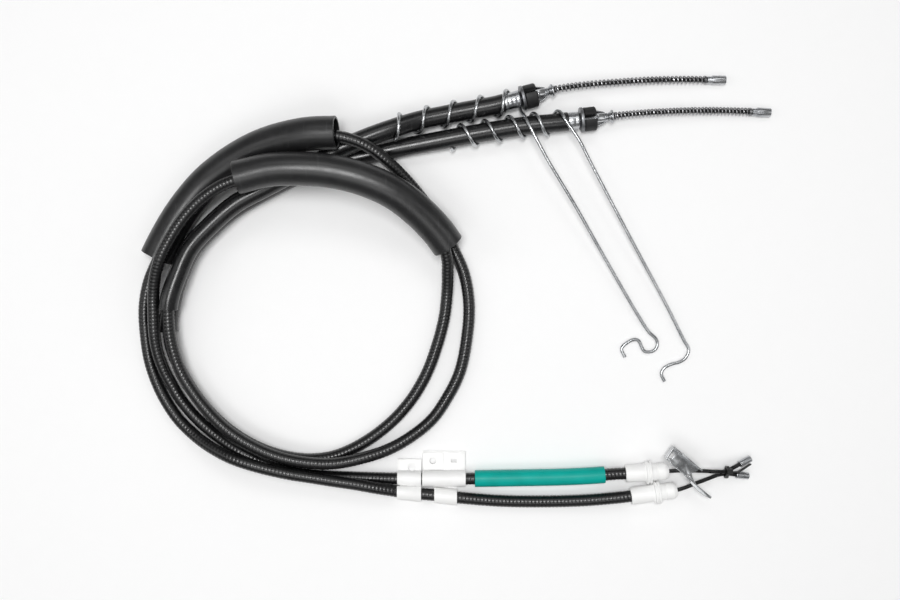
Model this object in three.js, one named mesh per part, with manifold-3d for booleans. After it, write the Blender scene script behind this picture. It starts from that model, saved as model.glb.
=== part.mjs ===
// Parking brake cable set: two sheathed cables that lie together in a loop of one and a half turns.
// Each cable runs from a nipple with a return spring at the wheel to a nipple at the hand lever.
// Millimetres, +Z up. The set lies on the plane z = 0, centred on the origin.
import * as THREE from 'three';
import { mergeVertices } from 'three/addons/utils/BufferGeometryUtils.js';
import Module from 'manifold-3d';

const wasm = await Module();
wasm.setup();

// Driving dimensions
const seatGap = 0.3; // left between pieces that touch
const wireDiameter = 3.4; // coated inner wire
const wirePlay = 0.6; // room round the wire in every bore that it slides in
const conduitDiameter = 10;
const tubeWall = 2.5; // stiff tube over the wheel end of each conduit
const sleeveBoreDiameter = 22.8; // loose protective sleeve
const sleeveWall = 2.3;
const colourSleeveWall = 1.7; // tight coloured sleeve on cable B
const colourSleeveLength = 109;

const nippleDiameter = 7.6; // wheel end
const nippleLength = 11.6;
const nippleNeckDiameter = 6;
const nippleNeckLength = 4;
const springDiameter = 7.2; // return spring, outside
const springWireDiameter = 1.2;
const springCoils = 30;
const springClosedCoils = 1; // laid flat at each end
const seatDiameter = 11.4; // flared seat of the return spring
const seatRimThickness = 1.4;
const seatLength = 3.6;
const noseDiameter = 8; // nose of the wheel end fitting
const noseTipDiameter = 6.4;
const noseReach = 10.6; // from the collar to the spring seat
const barbCount = 3;
const barbLength = 8;
const barbSpread = 2.9; // how far a barb stands off the nose at the collar
const barbWidth = 4.4;
const barbThickness = 0.9;
const collarDiameter = 20;
const collarLength = 10.5;
const collarSlotWidth = 4.4;
const collarChamfer = 0.8;
const washerDiameter = 21;
const washerThickness = 2.4;
const shellDiameter = 14.6; // shell that is pressed over the conduit
const shellFloor = 3;

const hookWireDiameter = 2.8; // long hook spring round each tube
const hookCoilPlay = 0.5;

const barrelDiameter = 14.6; // white fitting at the lever end
const barrelLength = 17;
const flangeDiameter = 19.2;
const flangeThickness = 5;
const leverNoseDiameter = 14;
const leverNoseLength = 14;
const fittingFillet = 0.8;
const fittingSocketDepth = 25;
const leverNippleDiameter = 5.8;
const leverNippleLength = 11;

const clipWall = 1.4; // plastic round a conduit
const clipLength = 20;
const clipTabReach = 11; // from the conduit to the free edge of the bolt tab
const clipTabThickness = 4;
const clipBoltHoleDiameter = 6.5;
const guideLength = 36.4;
const guideTabReach = 17.5;
const guideTabThickness = 3;
const guidePadThickness = 1.6; // raised left pad of the guide clip
const guideHoleDiameter = 5.2;
const guideSlotLength = 5;
const guideSlotWidth = 2.6;
const guideStrapLength = 19;

const sheetThickness = 1.6; // folded steel lever
const leverFlangeHeight = 9;
const leverHoleDiameter = 5;
const tieThickness = 1.1;
const tieWidth = 2.6;
const tiePlay = 1;
const tieHeadSize = 4.4;
const tieTail = [[7, -1.2, 11], [10, -1, 9.5], [15, 1.6, 7], [21, 4.6, 4.6]]; // from the head, to its free end

// Sizes that follow from them
const wireRadius = wireDiameter / 2;
const wireBoreRadius = wireRadius + wirePlay;
const conduitRadius = conduitDiameter / 2;
const socketRadius = conduitRadius + seatGap;
const tubeRadius = socketRadius + tubeWall;
const sleeveBoreRadius = sleeveBoreDiameter / 2;
const sleeveRadius = sleeveBoreRadius + sleeveWall;
const collarBoreRadius = noseDiameter / 2 + seatGap;
const hookCoilRadius = tubeRadius + hookCoilPlay + hookWireDiameter / 2;
const fittingLength = barrelLength + flangeThickness + leverNoseLength;

// Faceting of the swept pieces
const conduitSides = 8;
const boreSides = 6;
const wireSides = 6;
const sleeveSides = 12;
const hookSides = 6;
const turnSegments = 24;
const longestStep = 45;
const chordError = 0.42; // how far a straight step may leave the curve

// Centre line of each cable, from the wheel nipple to the lever nipple
const routeA = [
  [229, 178.5, 4], [213, 178.5, 4.4], [173, 178, 6], [135, 175.5, 8], [104, 172.5, 9.3],
  [86, 169.4, 10.5], [80, 167.8, 10.6], [40, 157.4, 11.2], [33, 155.6, 11.3], [11, 151.5, 11.4],
  [-9, 147.5, 12], [-31, 142.5, 13.8], [-51, 135.5, 18.4], [-71, 128, 20.3], [-92, 119, 21.2],
  [-111, 109, 23.4], [-130, 99, 24.1], [-157, 85, 24.2], [-181, 72, 24.2], [-202, 54, 24.2],
  [-219, 35, 24.2], [-229, 13, 24.2], [-236, -9, 24.2], [-237, -26, 22.5], [-235, -45, 20],
  [-228, -68, 17], [-212, -93, 16.3], [-192, -114, 17], [-171, -128, 17.3], [-148, -138, 16.8],
  [-125, -143, 15.8], [-102, -144, 15.6], [-79, -140, 14.5], [-56, -133, 11], [-36, -122, 8],
  [-19, -108, 5.6], [-7, -91, 5], [4, -69, 5], [10, -41, 5], [12, -12, 5], [8, 14, 5], [-1, 35, 5.3],
  [-11, 54, 6.5], [-21, 69, 10.5], [-32, 83, 16], [-43, 95, 22], [-55, 106, 28], [-68, 116, 32],
  [-82, 122.5, 34.5], [-100, 126.5, 35], [-125, 126, 31.5], [-165, 117, 21.2], [-202, 95, 12],
  [-226, 69, 9.4], [-241, 46, 8.6], [-250, 26, 8.2], [-258, 8, 6.1], [-262, -13, 5], [-261, -37, 5],
  [-257, -61, 5], [-248, -85, 5], [-235, -106, 5.5], [-223, -118, 7.4], [-212, -126, 11],
  [-199, -133, 16], [-185, -139, 20], [-170, -144, 21], [-154, -148.5, 19.8], [-137, -152.5, 18],
  [-119, -155.5, 17], [-101, -158.5, 16.2], [-82, -161.5, 15.4], [-67, -164.5, 14], [-54, -167, 11.6],
  [-44, -169, 9], [-34, -170.5, 7.2], [-17, -172, 6.7], [2, -174, 6.7], [38, -177, 6], [80, -177.5, 6],
  [114, -176, 7.6], [140, -173.2, 9.8], [147, -172.3, 10], [172, -168.9, 10.8], [179, -168, 11],
  [190, -166, 11], [203, -161.2, 10], [213.5, -157.8, 8.2], [222, -155, 6.8], [230, -154.2, 5.8],
  [237, -155, 5], [247, -156.2, 4.2],
];
const routeB = [
  [267, 151, 4], [253, 151.5, 4.4], [215, 152, 6.2], [183, 151, 8], [152, 148.8, 9.8],
  [136, 147, 10.5], [129, 146.2, 10.6], [93, 142, 11.2], [86, 141.2, 11.3], [55, 138, 11.3],
  [21, 132.5, 11.3], [-12, 126.5, 10.9], [-48, 120, 8.9], [-79, 113, 8], [-105, 106, 8], [-133, 97, 8],
  [-160, 84, 8], [-186, 69, 8], [-206, 52, 8], [-222, 34, 8], [-233, 10, 8], [-239, -12, 8],
  [-241, -31, 8.3], [-239, -48, 7], [-232, -66, 5.4], [-215, -93, 5], [-198, -111, 5], [-180, -124.5, 5],
  [-160, -134.5, 5], [-139, -140.5, 5], [-119, -142, 5], [-99, -138.5, 5], [-76, -127.5, 5],
  [-54, -111, 5], [-37, -92, 5], [-24, -70, 5], [-15, -46, 5], [-9, -23, 5.2], [-6.5, -2, 6.8],
  [-6, 14, 12], [-6.5, 27, 17.5], [-12, 43, 23.5], [-28, 62, 29.5], [-47, 78, 35], [-75, 90, 39],
  [-100, 95.5, 40.6], [-125, 97, 41], [-154, 95, 40.6], [-176, 90.5, 40], [-192, 84, 39],
  [-209, 72, 37.2], [-223, 57, 35.5], [-233.5, 41, 34], [-241.5, 26, 32], [-247, 11, 27],
  [-249.5, -4, 22.6], [-250, -19, 20.3], [-250, -35, 18], [-248.5, -50, 14.8], [-244, -66, 11.3],
  [-238, -79, 8.5], [-232, -90, 6.8], [-223, -102, 5.6], [-212, -113, 5.8], [-200, -122.5, 7.4],
  [-189, -130, 9.8], [-179, -135.5, 11.4], [-168, -141, 10.6], [-156, -146.5, 7.2], [-143, -151.5, 5.3],
  [-126, -155, 5], [-105, -156.7, 5], [-83, -157.5, 5], [-65, -158, 5.2], [-48, -158.2, 6.2],
  [-25, -158.2, 6.7], [-7, -158.2, 6.7], [17, -158, 7.2], [55, -157.3, 7.8], [89, -156.5, 8.4],
  [114, -155.2, 9.4], [136, -153.6, 9.8], [144, -153.2, 10], [171, -151.6, 10.8], [178, -151.2, 11],
  [188, -150.6, 11.2], [207, -150.8, 11.4], [218, -151.4, 11.2], [226, -151.5, 10.4], [231, -150, 9.2],
  [239, -146.5, 7.4], [248.5, -142, 5.4],
];
// Axis of each loose sleeve, which rests on the cable inside it
const sleeveAxisA = [
  [-96, 128.2, 39.6], [-124, 127, 36.6], [-164, 117.5, 26.4], [-202, 95, 17.2], [-226, 69, 14.4],
  [-241, 45, 13.9], [-249.5, 28, 13.6],
];
const sleeveAxisB = [
  [-5.5, 37.5, 23.6], [-14.5, 49.5, 28], [-30, 65, 34], [-49, 79, 40], [-74, 90, 44.2], [-99, 96, 46.2],
  [-125, 98, 46.6], [-150, 97, 46.2], [-176, 91, 45.6],
];
// Straight arm and hook of each hook spring, from its last coil to its free end
const hookArmA = [
  [56, 150.5, 9.5], [57.5, 147, 15.5], [59, 142.5, 20.6], [62, 136.5, 22.4], [67, 127, 22], [77, 109, 20],
  [100, 72, 15.5], [126, 28, 9.5], [153, -17, 4], [165, -35, 1.8], [170, -39.5, 1.6], [172, -44, 1.5],
  [170.5, -49, 1.5], [166, -51.5, 1.5], [161, -51, 1.5], [158.5, -47, 1.5], [156, -42, 1.5],
  [152.5, -41, 1.5], [144.5, -45, 1.5], [141.5, -49, 1.5], [144.5, -56, 1.5],
];
const hookArmB = [
  [104, 124, 19.8], [113, 107, 17.8], [147, 45, 11.5], [181, -16, 5], [194.5, -42, 2.2], [198.5, -49, 1.6],
  [198, -52.5, 1.5], [195.5, -57, 1.5], [191, -60, 1.5], [183, -62.3, 1.5], [177.5, -65.5, 1.5],
  [175.3, -70, 1.5], [178, -76.5, 1.5],
];

// Each cable: its route, lengths of its own and where its sleeve and tube end
const cableA = {
  name: 'a', points: routeA, springLength: 131, shellLength: 14.2, tubeLength: 348,
  hookCoil: { turns: 4.86, from: 177, to: 288, startAngle: -50, turn: 1 }, arm: hookArmA,
};
const cableB = {
  name: 'b', points: routeB, springLength: 118.5, shellLength: 9.6, tubeLength: 415,
  hookCoil: { turns: 4.75, from: 176.25, to: 273, startAngle: 90, turn: -1 }, arm: hookArmB,
};

// Colours as the set shows them
const finishes = {
  blackPlastic: { color: 0x17181a, roughness: 0.42, metalness: 0 },
  blackSleeve: { color: 0x1d1e20, roughness: 0.55, metalness: 0 },
  blackRubber: { color: 0x1b1c1e, roughness: 0.7, metalness: 0 },
  blackCoat: { color: 0x101112, roughness: 0.35, metalness: 0 },
  teal: { color: 0x00a894, roughness: 0.45, metalness: 0 },
  whitePlastic: { color: 0xf1f1ee, roughness: 0.5, metalness: 0 },
  zinc: { color: 0xc3c6c9, roughness: 0.3, metalness: 1 },
  springSteel: { color: 0x8d9094, roughness: 0.35, metalness: 1 },
};

const set = new THREE.Group();
set.name = 'parking_brake_cable';

function addPiece(parent, name, geometry, finish) {
  const mesh = new THREE.Mesh(geometry, new THREE.MeshStandardMaterial(finishes[finish]));
  mesh.name = name;
  parent.add(mesh);
  return mesh;
}

// Solids and back
function toSolid(geometry) {
  const bare = geometry.clone();
  bare.deleteAttribute('normal');
  bare.deleteAttribute('uv');
  const merged = mergeVertices(bare, 1e-4);
  return new wasm.Manifold(new wasm.Mesh({
    numProp: 3,
    vertProperties: new Float32Array(merged.attributes.position.array),
    triVerts: new Uint32Array(merged.index.array),
  }));
}

function toGeometry(solid) {
  const { numProp, vertProperties, triVerts } = solid.getMesh();
  const places = new Float32Array((vertProperties.length / numProp) * 3);
  for (let i = 0; i < places.length / 3; i++) {
    for (let k = 0; k < 3; k++) places[i * 3 + k] = vertProperties[i * numProp + k];
  }
  const geometry = new THREE.BufferGeometry();
  geometry.setAttribute('position', new THREE.BufferAttribute(places, 3));
  geometry.setIndex(new THREE.BufferAttribute(new Uint32Array(triVerts), 1));
  geometry.computeVertexNormals();
  return geometry;
}

function cut(geometry, ...tools) {
  return toGeometry(tools.reduce((solid, tool) => solid.subtract(toSolid(tool)), toSolid(geometry)));
}

function join(geometry, ...others) {
  return toGeometry(others.reduce((solid, other) => solid.add(toSolid(other)), toSolid(geometry)));
}

// Curve through chosen points that is measured by its length from the first one
class Route extends THREE.CatmullRomCurve3 {
  constructor(points) {
    super(points.map((point) => new THREE.Vector3(...point)), false, 'centripetal');
    this.arcLengthDivisions = points.length * 24;
    this.total = this.getLength();
  }

  at(length) {
    return this.getPointAt(THREE.MathUtils.clamp(length / this.total, 0, 1));
  }

  heading(length) {
    return this.getTangentAt(THREE.MathUtils.clamp(length / this.total, 0, 1));
  }
}

// Stations along a route: every mark, and between marks the longest steps that stay by the curve
function placeStations(route, marks) {
  const ordered = [...new Set(marks)].sort((a, b) => a - b);
  const stations = [ordered[0]];
  for (const mark of ordered.slice(1)) {
    let here = stations[stations.length - 1];
    while (here < mark) {
      let step = Math.min(longestStep, mark - here);
      while (step > 4 && bow(route, here, here + step) > chordError) step -= 1;
      here = mark - here - step < 3 ? mark : here + step;
      stations.push(here);
    }
  }
  return stations;
}

function bow(route, from, to) {
  const start = route.at(from);
  const chord = new THREE.Line3(start, route.at(to));
  const onChord = new THREE.Vector3();
  return Math.max(...[0.25, 0.5, 0.75].map((share) => {
    const point = route.at(from + (to - from) * share);
    return chord.closestPointToPoint(point, true, onChord).distanceTo(point);
  }));
}

// Point on the straight steps between stations, which is where a swept piece has its middle
function onSteps(route, stations, length) {
  const i = Math.max(stations.findIndex((s) => s >= length), 1);
  const share = (length - stations[i - 1]) / (stations[i] - stations[i - 1]);
  return route.at(stations[i - 1]).lerp(route.at(stations[i]), share);
}

// Stretch of a route that keeps the route's own stations, so that layers with one axis nest
class Stretch extends THREE.Curve {
  constructor(route, stations, from, to) {
    super();
    this.route = route;
    this.stations = [from, ...stations.filter((s) => s > from + 0.5 && s < to - 0.5), to];
    this.steps = this.stations.length - 1;
  }

  getPoint(share) {
    return this.route.at(THREE.MathUtils.lerp(this.stations[0], this.stations[this.steps], share));
  }

  getSpacedPoints() {
    return this.stations.map((s) => this.route.at(s));
  }

  computeFrenetFrames() {
    const up = new THREE.Vector3(0, 0, 1);
    const tangents = this.stations.map((s) => this.route.heading(s));
    const normals = tangents.map((t) => new THREE.Vector3().crossVectors(up, t).normalize());
    const binormals = tangents.map((t, i) => new THREE.Vector3().crossVectors(t, normals[i]));
    return { tangents, normals, binormals };
  }
}

function roundSection(radius, sides, boreRadius, holeSides) {
  const ring = (r, n) => Array.from({ length: n }, (_, i) => {
    const angle = ((i + 0.5) * 2 * Math.PI) / n;
    return new THREE.Vector2(r * Math.cos(angle), r * Math.sin(angle));
  });
  const shape = new THREE.Shape(ring(radius, sides));
  if (boreRadius) shape.holes.push(new THREE.Path(ring(boreRadius, holeSides).reverse()));
  return shape;
}

function sweep(shape, path) {
  return new THREE.ExtrudeGeometry(shape, { steps: path.steps, extrudePath: path, bevelEnabled: false });
}

// Turned piece: outline as [along the axis, radius], closed on itself or on the axis
function turned(outline, segments = turnSegments) {
  const points = outline.map(([along, radius]) => new THREE.Vector2(radius, along));
  return new THREE.LatheGeometry(points, segments);
}

// Sets a turned piece on a route between two lengths, its axis along the route and its side up
function seatOnRoute(mesh, route, from, to) {
  const along = new THREE.Vector3().subVectors(route.at(to), route.at(from)).normalize();
  const side = new THREE.Vector3().crossVectors(along, new THREE.Vector3(0, 0, 1)).normalize();
  const up = new THREE.Vector3().crossVectors(side, along);
  mesh.quaternion.setFromRotationMatrix(new THREE.Matrix4().makeBasis(side, along, up));
  mesh.position.copy(route.at(from));
  mesh.updateMatrixWorld(true);
}

// Wheel end nipple: a barrel and neck with a blind bore for the wire
function wheelNipple() {
  const end = nippleLength + nippleNeckLength;
  const bore = wireRadius + seatGap;
  const rim = 0.5;
  return turned([
    [0, 0], [0, nippleDiameter / 2 - rim], [rim, nippleDiameter / 2],
    [nippleLength - rim, nippleDiameter / 2], [nippleLength, nippleNeckDiameter / 2],
    [end, nippleNeckDiameter / 2], [end, bore], [rim * 4, bore], [rim * 4, 0],
  ], 16);
}

// Return spring: open coils between closed end coils, round the wire's own route
class ReturnSpringPath extends THREE.Curve {
  constructor(route, stations, from, length) {
    super();
    Object.assign(this, { route, stations, from, length });
    this.steps = springCoils * 6;
    this.radius = (springDiameter - springWireDiameter) / 2;
  }

  along(turns) {
    const closed = springWireDiameter * 1.08;
    const room = this.length - springWireDiameter;
    const pitch = (room - 2 * springClosedCoils * closed) / (springCoils - 2 * springClosedCoils);
    const fromEnd = springCoils - turns;
    if (turns < springClosedCoils) return turns * closed;
    if (fromEnd < springClosedCoils) return room - fromEnd * closed;
    return springClosedCoils * closed + (turns - springClosedCoils) * pitch;
  }

  getPoint(share) {
    const turns = share * springCoils;
    const s = this.from + springWireDiameter / 2 + this.along(turns);
    const heading = this.route.heading(s);
    const side = new THREE.Vector3().crossVectors(heading, new THREE.Vector3(0, 0, 1)).normalize();
    const up = new THREE.Vector3().crossVectors(side, heading);
    const angle = turns * 2 * Math.PI;
    return onSteps(this.route, this.stations, s)
      .addScaledVector(side, this.radius * Math.cos(angle))
      .addScaledVector(up, this.radius * Math.sin(angle));
  }

  getSpacedPoints() {
    return Array.from({ length: this.steps + 1 }, (_, i) => this.getPoint(i / this.steps));
  }
}

// Flared seat that the return spring bears on
function springSeat() {
  const tip = noseTipDiameter / 2;
  return turned([
    [0, wireBoreRadius], [0, seatDiameter / 2], [seatRimThickness, seatDiameter / 2],
    [seatLength, tip + 0.4], [seatLength, wireBoreRadius], [0, wireBoreRadius],
  ]);
}

// Wheel end fitting: nose with barbs, shoulder for the washer, shell pressed over the conduit
function wheelFitting(shellLength) {
  const shoulder = noseReach + collarLength + washerThickness + 3 * seatGap;
  const end = shoulder + shellLength;
  const shellFrom = shoulder + shellFloor;
  const bevel = 1;
  const body = turned([
    [0, wireBoreRadius], [0, noseTipDiameter / 2], [noseReach * 0.6, noseDiameter / 2],
    [shoulder, noseDiameter / 2], [shoulder, shellDiameter / 2 - bevel],
    [shoulder + bevel, shellDiameter / 2], [end, shellDiameter / 2], [end, socketRadius],
    [shellFrom, socketRadius], [shellFrom, wireBoreRadius], [0, wireBoreRadius],
  ]);
  const barbs = [];
  for (let i = 0; i < barbCount; i++) {
    barbs.push(barb().rotateY((i * 2 * Math.PI) / barbCount + Math.PI / 6));
  }
  return join(body, ...barbs);
}

// Barb: a thin finger that springs out from the nose towards the collar
function barb() {
  const root = noseReach - seatGap - barbLength;
  const tip = noseReach - 2 * seatGap;
  const inside = noseTipDiameter / 2 - 0.6;
  const outside = noseDiameter / 2 + barbSpread;
  const finger = new THREE.Shape([
    new THREE.Vector2(inside, root), new THREE.Vector2(inside + barbThickness, root),
    new THREE.Vector2(outside, tip), new THREE.Vector2(outside - barbThickness, tip),
  ]);
  const plate = new THREE.ExtrudeGeometry(finger, { depth: barbWidth, bevelEnabled: false });
  return plate.translate(0, 0, -barbWidth / 2);
}

// Rubber collar with a slot along it
function collar() {
  const c = collarChamfer;
  const r = collarDiameter / 2;
  const ring = turned([
    [0, collarBoreRadius], [0, r - c], [c, r], [collarLength - c, r], [collarLength, r - c],
    [collarLength, collarBoreRadius], [0, collarBoreRadius],
  ]);
  const slot = new THREE.BoxGeometry(collarSlotWidth, collarLength + 2, r);
  return cut(ring, slot.translate(0, collarLength / 2, r / 2 + 1));
}

function washer() {
  const r = washerDiameter / 2;
  return turned([
    [0, collarBoreRadius], [0, r], [washerThickness, r], [washerThickness, collarBoreRadius],
    [0, collarBoreRadius],
  ]);
}

// Hook spring: coils round the tube, then a straight arm with a hook at its free end
class HookSpringPath extends THREE.Curve {
  constructor(route, stations, coil, arm) {
    super();
    Object.assign(this, { route, stations, coil });
    const segments = 10;
    const count = Math.round(coil.turns * segments);
    const coilPoints = Array.from({ length: count + 1 }, (_, i) => this.coilPoint(i / count));
    const armPoints = this.armPoints(coilPoints[0], arm);
    this.points = [...armPoints.reverse(), ...coilPoints];
    this.steps = this.points.length - 1;
  }

  coilPoint(share) {
    const { turns, from, to, startAngle, turn } = this.coil;
    const s = from + (to - from) * share;
    const heading = this.route.heading(s);
    const side = new THREE.Vector3().crossVectors(heading, new THREE.Vector3(0, 0, 1)).normalize();
    const up = new THREE.Vector3().crossVectors(side, heading);
    const angle = THREE.MathUtils.degToRad(startAngle) - turn * turns * share * 2 * Math.PI;
    return onSteps(this.route, this.stations, s)
      .addScaledVector(side, -hookCoilRadius * Math.cos(angle))
      .addScaledVector(up, hookCoilRadius * Math.sin(angle));
  }

  armPoints(start, arm) {
    const line = new Route([start.toArray(), ...arm]);
    const stations = placeStations(line, [0, line.total]);
    return stations.slice(1).map((s) => line.at(s));
  }

  getPoint(share) {
    return this.points[Math.round(share * this.steps)].clone();
  }

  getSpacedPoints() {
    return this.points;
  }

  getTangentAt(share) {
    const i = Math.round(share * this.steps);
    const before = this.points[Math.max(i - 1, 0)];
    const after = this.points[Math.min(i + 1, this.steps)];
    return new THREE.Vector3().subVectors(after, before).normalize();
  }
}

// White lever end fitting: barrel over the conduit, flange, nose for the wire
function leverFitting() {
  const f = fittingFillet;
  const flangeFrom = barrelLength;
  const flangeTo = flangeFrom + flangeThickness;
  const barrel = barrelDiameter / 2;
  const flange = flangeDiameter / 2;
  const nose = leverNoseDiameter / 2;
  return turned([
    [0, socketRadius], [0, barrel - f], [f, barrel], [flangeFrom, barrel], [flangeFrom, flange - f],
    [flangeFrom + f, flange], [flangeTo - f, flange], [flangeTo, flange - f], [flangeTo, nose],
    [fittingLength - f, nose], [fittingLength, nose - f], [fittingLength, wireBoreRadius],
    [fittingSocketDepth, wireBoreRadius], [fittingSocketDepth, socketRadius], [0, socketRadius],
  ]);
}

function leverNipple() {
  const r = leverNippleDiameter / 2;
  const bore = wireRadius + seatGap;
  const rim = 0.4;
  return turned([
    [0, bore], [0, r - rim], [rim, r], [leverNippleLength - rim, r], [leverNippleLength, r - rim],
    [leverNippleLength, 0], [leverNippleLength - 1.2, 0], [leverNippleLength - 1.2, bore], [0, bore],
  ], 16);
}

// One cable, its stations and the pieces that lie on its route
function buildCable(cable) {
  const { name } = cable;
  const route = new Route(cable.points);
  const group = new THREE.Group();
  group.name = `cable_${name}`;
  set.add(group);

  const springFrom = nippleLength + nippleNeckLength + seatGap;
  const seatFrom = springFrom + cable.springLength + seatGap;
  const fittingFrom = seatFrom + seatLength + seatGap;
  const collarFrom = fittingFrom + noseReach;
  const washerFrom = collarFrom + collarLength + seatGap;
  const shellFrom = washerFrom + washerThickness + seatGap;
  const shellTo = shellFrom + cable.shellLength;
  const conduitFrom = fittingFrom + noseReach + collarLength + washerThickness + 3 * seatGap
    + shellFloor + seatGap;
  const tubeFrom = shellTo + seatGap;
  const tubeTo = tubeFrom + cable.tubeLength;
  const leverNippleFrom = route.total - leverNippleLength + 1.2 + seatGap;
  const fittingAt = cable.leverFittingFrom(route);
  const conduitTo = fittingAt + fittingSocketDepth - seatGap;
  const wireFrom = 2 + seatGap;

  const marks = [wireFrom, conduitFrom, tubeFrom, tubeTo, fittingAt, conduitTo, route.total];
  if (cable.colourSleeveFrom) {
    marks.push(cable.colourSleeveFrom(route), cable.colourSleeveFrom(route) + colourSleeveLength);
  }
  const stations = placeStations(route, marks);
  const stretch = (from, to) => new Stretch(route, stations, from, to);
  const place = (piece, geometry, finish, from, to) => {
    const mesh = addPiece(group, `${piece}_${name}`, geometry, finish);
    seatOnRoute(mesh, route, from, to);
    return mesh;
  };

  addPiece(group, `inner_wire_${name}`, sweep(roundSection(wireRadius, wireSides),
    stretch(wireFrom, route.total)), 'blackCoat');
  addPiece(group, `conduit_${name}`, sweep(roundSection(conduitRadius, conduitSides,
    wireBoreRadius + 0.15, boreSides), stretch(conduitFrom, conduitTo)), 'blackPlastic');
  addPiece(group, `wheel_tube_${name}`, sweep(roundSection(tubeRadius, conduitSides, socketRadius,
    conduitSides), stretch(tubeFrom, tubeTo)), 'blackPlastic');
  if (cable.colourSleeveFrom) {
    const from = cable.colourSleeveFrom(route);
    addPiece(group, `colour_sleeve_${name}`, sweep(roundSection(socketRadius + colourSleeveWall,
      conduitSides, socketRadius, conduitSides), stretch(from, from + colourSleeveLength)), 'teal');
  }

  place('wheel_nipple', wheelNipple(), 'zinc', 0, springFrom);
  const springPath = new ReturnSpringPath(route, stations, springFrom, cable.springLength);
  addPiece(group, `return_spring_${name}`, sweep(roundSection(springWireDiameter / 2, 4), springPath),
    'springSteel');
  place('spring_seat', springSeat(), 'zinc', seatFrom, shellTo);
  place('wheel_fitting', wheelFitting(cable.shellLength), 'zinc', fittingFrom, shellTo);
  const tilt = THREE.MathUtils.degToRad(cable.slotTilt);
  place('collar', collar().rotateY(tilt), 'blackRubber', collarFrom, shellTo);
  place('washer', washer(), 'zinc', washerFrom, shellTo);
  addPiece(group, `hook_spring_${name}`, sweep(roundSection(hookWireDiameter / 2, hookSides),
    new HookSpringPath(route, stations, cable.hookCoil, cable.arm)), 'zinc');

  const sleeveRoute = new Route(cable.sleeveAxis);
  const sleeveStations = placeStations(sleeveRoute, [0, sleeveRoute.total]);
  addPiece(group, `loose_sleeve_${name}`, sweep(roundSection(sleeveRadius, sleeveSides,
    sleeveBoreRadius, sleeveSides), new Stretch(sleeveRoute, sleeveStations, 0, sleeveRoute.total)),
  'blackSleeve');

  place('lever_fitting', leverFitting(), 'whitePlastic', fittingAt, fittingAt + fittingLength);
  place('lever_nipple', leverNipple(), 'zinc', leverNippleFrom, route.total);
  return { route, stretch };
}

// Length along a route where it comes nearest to a chosen x, on its last run to the lever
function lengthAtX(route, x) {
  let s = route.total;
  while (s > 0 && route.at(s).x > x) s -= 0.25;
  return s;
}

const leverFittingX = { a: 150.5, b: 143.3 };
const colourSleeveX = 17;
cableA.leverFittingFrom = (route) => lengthAtX(route, leverFittingX.a);
cableB.leverFittingFrom = (route) => lengthAtX(route, leverFittingX.b);
cableB.colourSleeveFrom = (route) => lengthAtX(route, colourSleeveX);
cableA.sleeveAxis = sleeveAxisA;
cableB.sleeveAxis = sleeveAxisB;
cableA.slotTilt = 20;
cableB.slotTilt = 2;

const a = buildCable(cableA);
const b = buildCable(cableB);

// Space that a conduit needs where a clip holds it
function conduitSpace(cable, fromX, toX) {
  const from = lengthAtX(cable.route, fromX);
  const to = lengthAtX(cable.route, toX);
  return sweep(roundSection(socketRadius, conduitSides), cable.stretch(from, to));
}

// Saddle over one conduit: an upright arch on the plane z = 0, as a section across the conduit
function saddle({ y, z }) {
  const shape = new THREE.Shape();
  const outer = socketRadius + clipWall;
  shape.moveTo(y - outer, 0);
  shape.lineTo(y + outer, 0);
  shape.lineTo(y + outer, z);
  shape.absarc(y, z, outer, 0, Math.PI, false);
  shape.lineTo(y - outer, 0);
  return shape;
}

// Extrudes a section drawn in (y, z) along x
function alongX(shape, length) {
  const block = new THREE.ExtrudeGeometry(shape, { depth: length, bevelEnabled: false, curveSegments: 8 });
  const toWorld = new THREE.Matrix4().makeBasis(
    new THREE.Vector3(0, 1, 0), new THREE.Vector3(0, 0, 1), new THREE.Vector3(1, 0, 0));
  return block.applyMatrix4(toWorld).translate(-length / 2, 0, 0);
}

function upright(shape, height) {
  return new THREE.ExtrudeGeometry(shape, { depth: height, bevelEnabled: false, curveSegments: 12 });
}

function disc(x, y, radius) {
  const shape = new THREE.Shape();
  shape.absarc(x, y, radius, 0, 2 * Math.PI, false);
  return shape;
}

function boxBetween(low, high) {
  const size = high.map((value, i) => value - low[i]);
  const middle = high.map((value, i) => (value + low[i]) / 2);
  return new THREE.BoxGeometry(...size).translate(...middle);
}

// Twin clip: holds both conduits side by side, with a bolt tab beside cable B
function twinClip() {
  const centreX = -38.3;
  const half = clipLength / 2;
  const onA = a.route.at(lengthAtX(a.route, centreX));
  const onB = b.route.at(lengthAtX(b.route, centreX));
  const outer = socketRadius + clipWall;
  const tabEdge = onB.y + conduitRadius + clipTabReach;
  const block = join(
    alongX(saddle(onB), clipLength).translate(centreX, 0, 0),
    alongX(saddle(onA), clipLength).translate(centreX, 0, 0),
    boxBetween([centreX - half, onA.y, 0], [centreX + half, tabEdge, clipTabThickness]),
  );
  const holeY = onB.y + outer + clipBoltHoleDiameter / 2 - 1;
  const hole = upright(disc(centreX + 2, holeY, clipBoltHoleDiameter / 2), 30).translate(0, 0, -5);
  const spaces = [a, b].map((cable) => conduitSpace(cable, centreX - half - 4, centreX + half + 4));
  addPiece(set, 'twin_clip', cut(block, hole, ...spaces), 'whitePlastic');
}

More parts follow.
